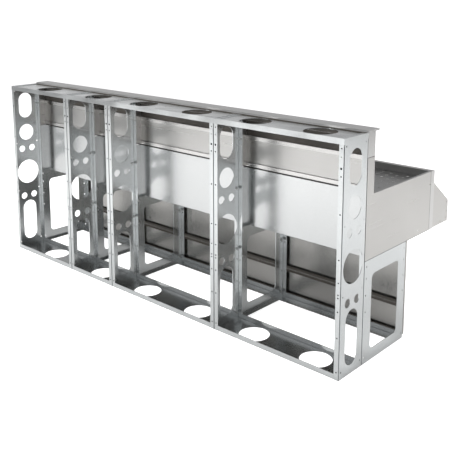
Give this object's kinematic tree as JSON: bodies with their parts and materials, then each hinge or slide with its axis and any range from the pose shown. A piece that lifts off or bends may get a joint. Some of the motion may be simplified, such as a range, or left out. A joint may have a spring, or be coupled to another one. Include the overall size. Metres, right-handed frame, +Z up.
{
  "type": "modular bar die with underbar workboard",
  "caption": "Punched galvanised stud wall for a bar front, carrying a stainless underbar workboard with backsplash, wells, drainboards and bottle rail on a panelled stand.",
  "frame": {"origin": "on the floor, under the middle of the whole assembly's bounding box", "axes": "+X along the wall to the right seen from the customer's side, +Y from the customer's side to the bartender's side, +Z up"},
  "size_m": [2.438, 0.952, 1.049],
  "materials": {
    "galvanised_steel": "galvanised, faint spangle",
    "galvanised_panel": "galvanised, faint spangle",
    "stainless_sheet": "satin stainless",
    "stainless_well": "satin stainless",
    "stainless_insert": "satin stainless, perforated",
    "stainless_rail": "satin stainless",
    "zinc_fasteners": "zinc plated",
    "bright_screws": "bright zinc plated",
    "stainless_fittings": "satin stainless"
  },
  "bodies": {
    "frame": {"stud_a_left": "galvanised_steel", "stud_a_right": "galvanised_steel", "bottom_track_a": "galvanised_steel", "top_track_a": "galvanised_steel", "side_frame_a_left": "galvanised_steel", "side_frame_a_right": "galvanised_steel", "sill_rail_a": "galvanised_steel", "kick_panel_a": "galvanised_panel", "access_panel_a": "galvanised_panel", "back_panel_a": "galvanised_steel", "stud_b_left": "galvanised_steel", "stud_b_right": "galvanised_steel", "bottom_track_b": "galvanised_steel", "top_track_b": "galvanised_steel", "side_frame_b_left": "galvanised_steel", "side_frame_b_right": "galvanised_steel", "sill_rail_b": "galvanised_steel", "kick_panel_b": "galvanised_panel", "access_panel_b": "galvanised_panel", "back_panel_b": "galvanised_steel", "stud_c_left": "galvanised_steel", "stud_c_right": "galvanised_steel", "bottom_track_c": "galvanised_steel", "top_track_c": "galvanised_steel", "side_frame_c_left": "galvanised_steel", "side_frame_c_right": "galvanised_steel", "sill_rail_c": "galvanised_steel", "kick_panel_c": "galvanised_panel", "access_panel_c": "galvanised_panel", "back_panel_c": "galvanised_steel", "stud_d_left": "galvanised_steel", "stud_d_right": "galvanised_steel", "bottom_track_d": "galvanised_steel", "top_track_d": "galvanised_steel", "side_frame_d_left": "galvanised_steel", "side_frame_d_right": "galvanised_steel", "sill_rail_d": "galvanised_steel", "kick_panel_d": "galvanised_panel", "access_panel_d": "galvanised_panel", "back_panel_d": "galvanised_steel", "side_panel_left": "stainless_sheet", "side_panel_right": "stainless_sheet", "front_apron": "stainless_sheet", "lower_backsplash": "stainless_sheet", "backsplash_cap": "stainless_sheet", "drainboard_pan_a": "stainless_well", "dump_sink_b": "stainless_well", "ice_bin_c": "stainless_well", "drainboard_pan_d": "stainless_well", "rail_bracket_left": "stainless_rail", "rail_bracket_right": "stainless_rail", "bottle_rail": "stainless_rail", "joint_bolts": "zinc_fasteners", "sheet_metal_screws": "bright_screws", "drain_tailpieces": "stainless_fittings"},
    "insert_a_left": {"drain_insert_a_left": "stainless_insert"},
    "insert_a_right": {"drain_insert_a_right": "stainless_insert"},
    "insert_d_left": {"drain_insert_d_left": "stainless_insert"},
    "insert_d_middle": {"drain_insert_d_middle": "stainless_insert"},
    "insert_d_right": {"drain_insert_d_right": "stainless_insert"}
  },
  "joints": [
    {"name": "insert_a_left_lift", "type": "slide", "parent": "frame", "child": "insert_a_left", "axis": [0, 0, 1], "range_m": [0, 0.25]},
    {"name": "insert_a_right_lift", "type": "slide", "parent": "frame", "child": "insert_a_right", "axis": [0, 0, 1], "range_m": [0, 0.25]},
    {"name": "insert_d_left_lift", "type": "slide", "parent": "frame", "child": "insert_d_left", "axis": [0, 0, 1], "range_m": [0, 0.25]},
    {"name": "insert_d_middle_lift", "type": "slide", "parent": "frame", "child": "insert_d_middle", "axis": [0, 0, 1], "range_m": [0, 0.25]},
    {"name": "insert_d_right_lift", "type": "slide", "parent": "frame", "child": "insert_d_right", "axis": [0, 0, 1], "range_m": [0, 0.25]}
  ]
}
